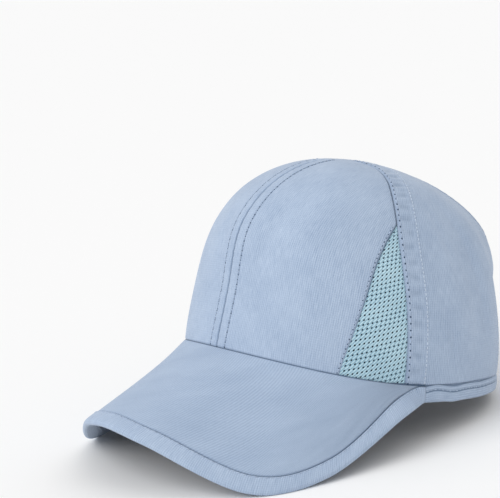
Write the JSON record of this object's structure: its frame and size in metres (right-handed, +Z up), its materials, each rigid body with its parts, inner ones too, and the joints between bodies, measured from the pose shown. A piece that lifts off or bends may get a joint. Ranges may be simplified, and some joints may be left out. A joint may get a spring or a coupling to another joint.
{
  "type": "ponytail baseball cap",
  "caption": "Soft baseball cap with a curved peak, pierced side vents and an open back above an overlapping closure tab.",
  "frame": {"origin": "middle of the cap's box, on the surface that it rests on", "axes": "+Z up from the table, the peak looks along -Y, the wearer's left is +X"},
  "size_m": [0.195, 0.2652, 0.1498],
  "materials": {
    "crown_cloth": "light woven polyester, matt, pale blue",
    "peak_cloth": "close woven polyester, matt, pale blue",
    "vent_mesh": "knitted mesh, matt, pale aqua",
    "inner_cloth": "coated inner face and sweatband, dark navy",
    "label_ribbon": "white woven ribbon, bare",
    "fastening": "brushed nylon hook and loop, grey blue"
  },
  "bodies": {
    "root": {"front_panel_left": "crown_cloth", "front_panel_right": "crown_cloth", "back_panel_left": "crown_cloth", "back_panel_right": "crown_cloth", "rim_band_left": "crown_cloth", "rim_band_right": "crown_cloth", "peak_binding": "peak_cloth", "peak": "peak_cloth", "peak_underside": "inner_cloth", "sweatband": "inner_cloth", "mesh_insert_left": "vent_mesh", "mesh_insert_right": "vent_mesh", "hook_patch": "fastening", "label_tab": "label_ribbon"}
  },
  "joints": []
}
